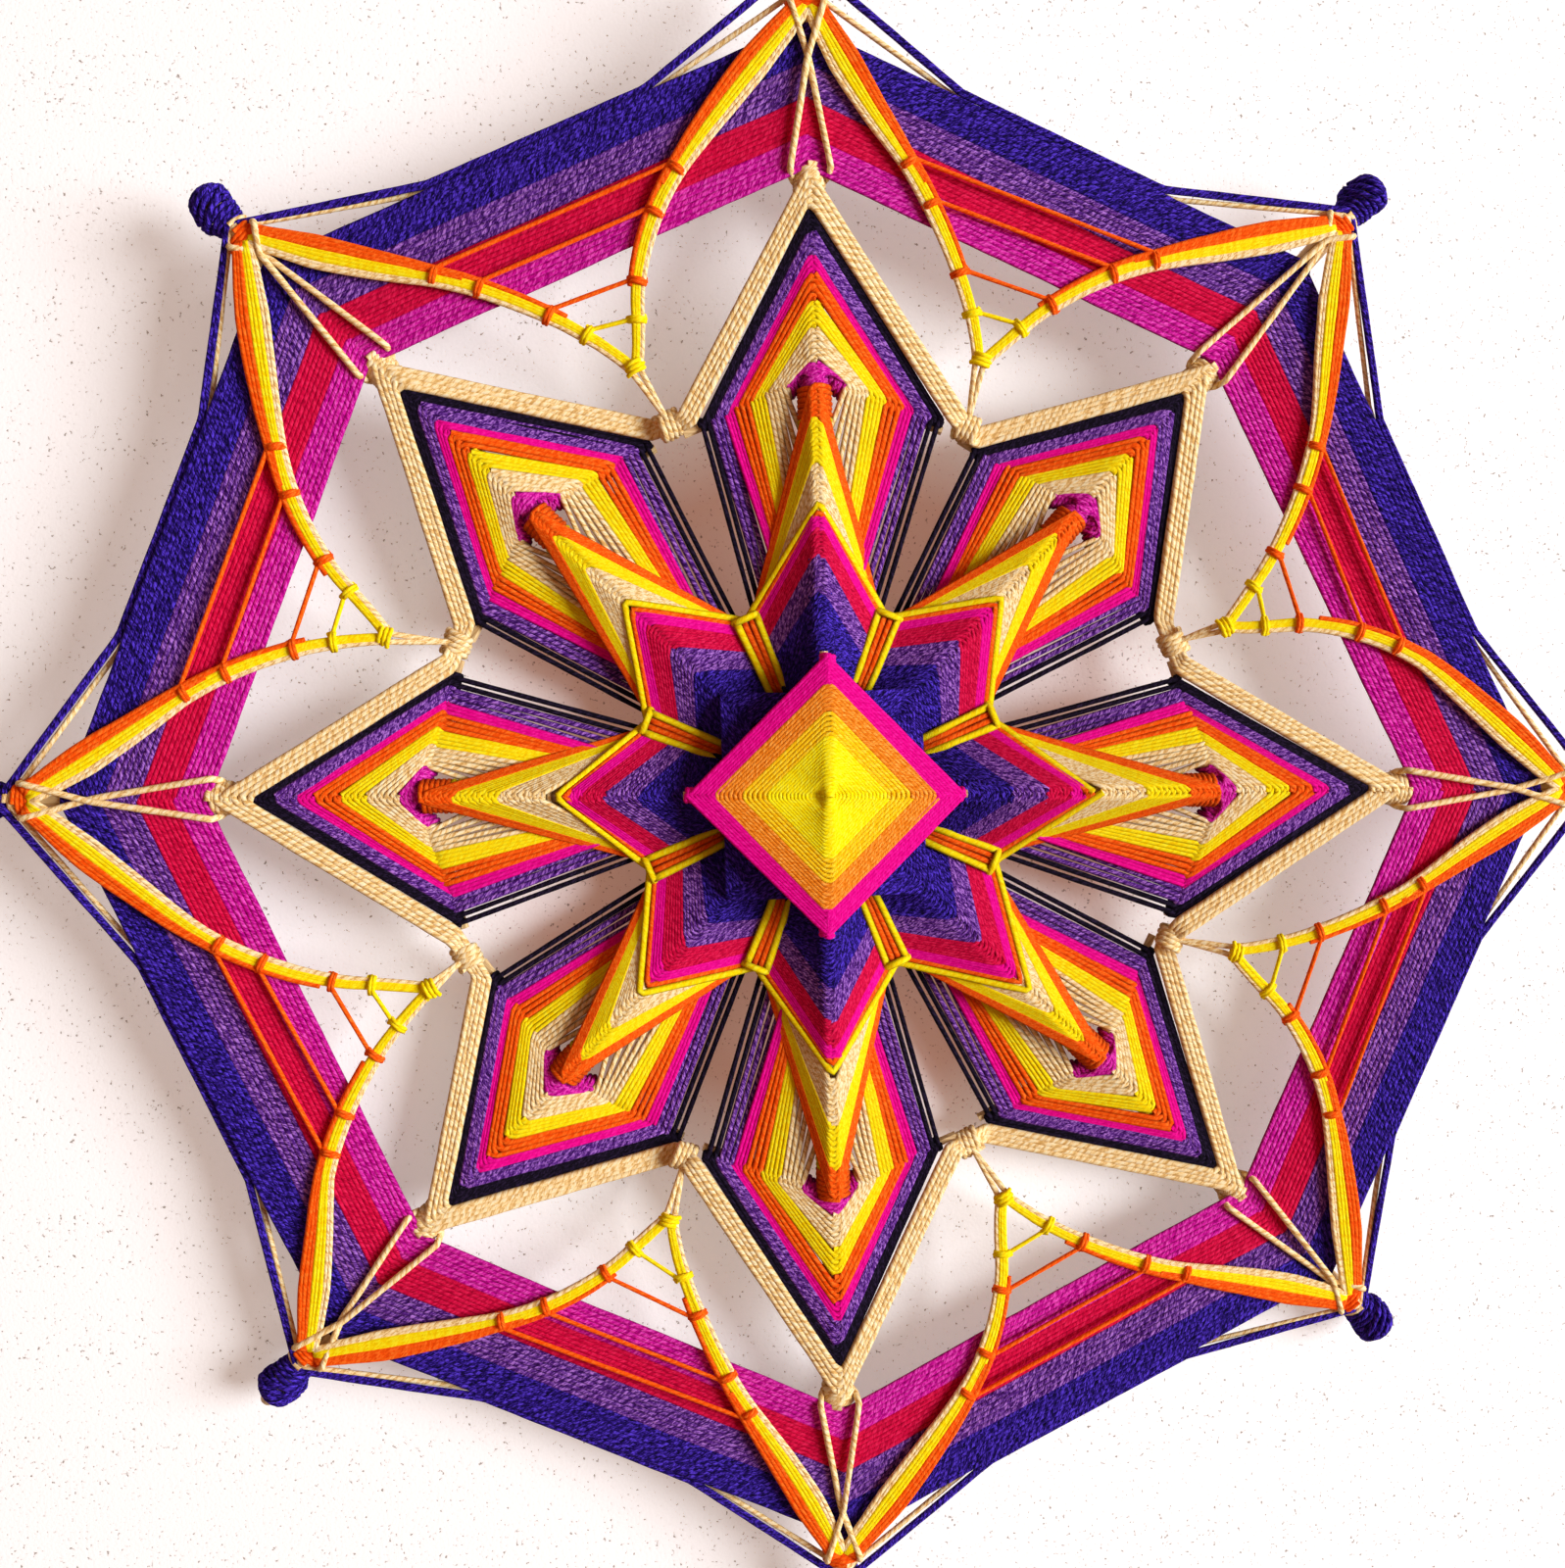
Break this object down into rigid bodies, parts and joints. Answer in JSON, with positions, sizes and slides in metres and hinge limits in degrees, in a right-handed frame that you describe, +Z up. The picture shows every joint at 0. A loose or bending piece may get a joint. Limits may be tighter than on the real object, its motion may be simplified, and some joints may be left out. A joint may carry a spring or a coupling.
{
  "type": "yarn mandala wall hanging",
  "caption": "Ojo de dios wall hanging: yarn petals, a woven star and a raised diamond eye wound on crossed rods inside a broad banded rim.",
  "frame": {"origin": "on the wall plane, behind the hub where the rods cross", "axes": "+X to the viewer's right, +Z up, -Y out of the wall towards the viewer"},
  "size_m": [0.4076, 0.028, 0.4074],
  "materials": {
    "bamboo": "matte",
    "navy_yarn": "matte",
    "purple_yarn": "matte",
    "crimson_yarn": "matte",
    "magenta_yarn": "matte",
    "orange_yarn": "matte",
    "yellow_yarn": "matte",
    "gold_yarn": "matte",
    "amber_yarn": "matte",
    "tan_yarn": "matte",
    "petal_yarn": "matte"
  },
  "bodies": {
    "root": {"level_rod": "bamboo", "rising_rod": "bamboo", "upright_rod": "bamboo", "falling_rod": "bamboo", "hub_lashing": "navy_yarn", "petal_stick_right": "bamboo", "petal_stick_upper_right": "bamboo", "petal_stick_top": "bamboo", "petal_stick_upper_left": "bamboo", "petal_stick_left": "bamboo", "petal_stick_lower_left": "bamboo", "petal_stick_bottom": "bamboo", "petal_stick_lower_right": "bamboo", "petal_winding_right": "petal_yarn", "petal_winding_upper_right": "petal_yarn", "petal_winding_top": "petal_yarn", "petal_winding_upper_left": "petal_yarn", "petal_winding_left": "petal_yarn", "petal_winding_lower_left": "petal_yarn", "petal_winding_bottom": "petal_yarn", "petal_winding_lower_right": "petal_yarn", "tan_border": "tan_yarn", "star_navy": "navy_yarn", "star_purple": "purple_yarn", "star_crimson": "crimson_yarn", "star_magenta": "magenta_yarn", "star_orange": "orange_yarn", "star_yellow": "yellow_yarn", "cone_tan": "tan_yarn", "cone_yellow": "yellow_yarn", "cone_orange": "orange_yarn", "eye_stick_level": "bamboo", "eye_stick_upright": "bamboo", "eye_yellow": "yellow_yarn", "eye_gold": "gold_yarn", "eye_amber": "amber_yarn", "eye_magenta": "magenta_yarn", "rim_magenta": "magenta_yarn", "rim_crimson": "crimson_yarn", "rim_purple": "purple_yarn", "rim_navy": "navy_yarn", "rim_edge_navy": "navy_yarn", "rim_edge_tan": "tan_yarn", "arc_orange": "orange_yarn", "arc_yellow": "yellow_yarn", "arc_tan": "tan_yarn", "tip_tie_right": "tan_yarn", "tip_tie_upper_right": "tan_yarn", "tip_tie_top": "tan_yarn", "tip_tie_upper_left": "tan_yarn", "tip_tie_left": "tan_yarn", "tip_tie_lower_left": "tan_yarn", "tip_tie_bottom": "tan_yarn", "tip_tie_lower_right": "tan_yarn"}
  },
  "joints": []
}
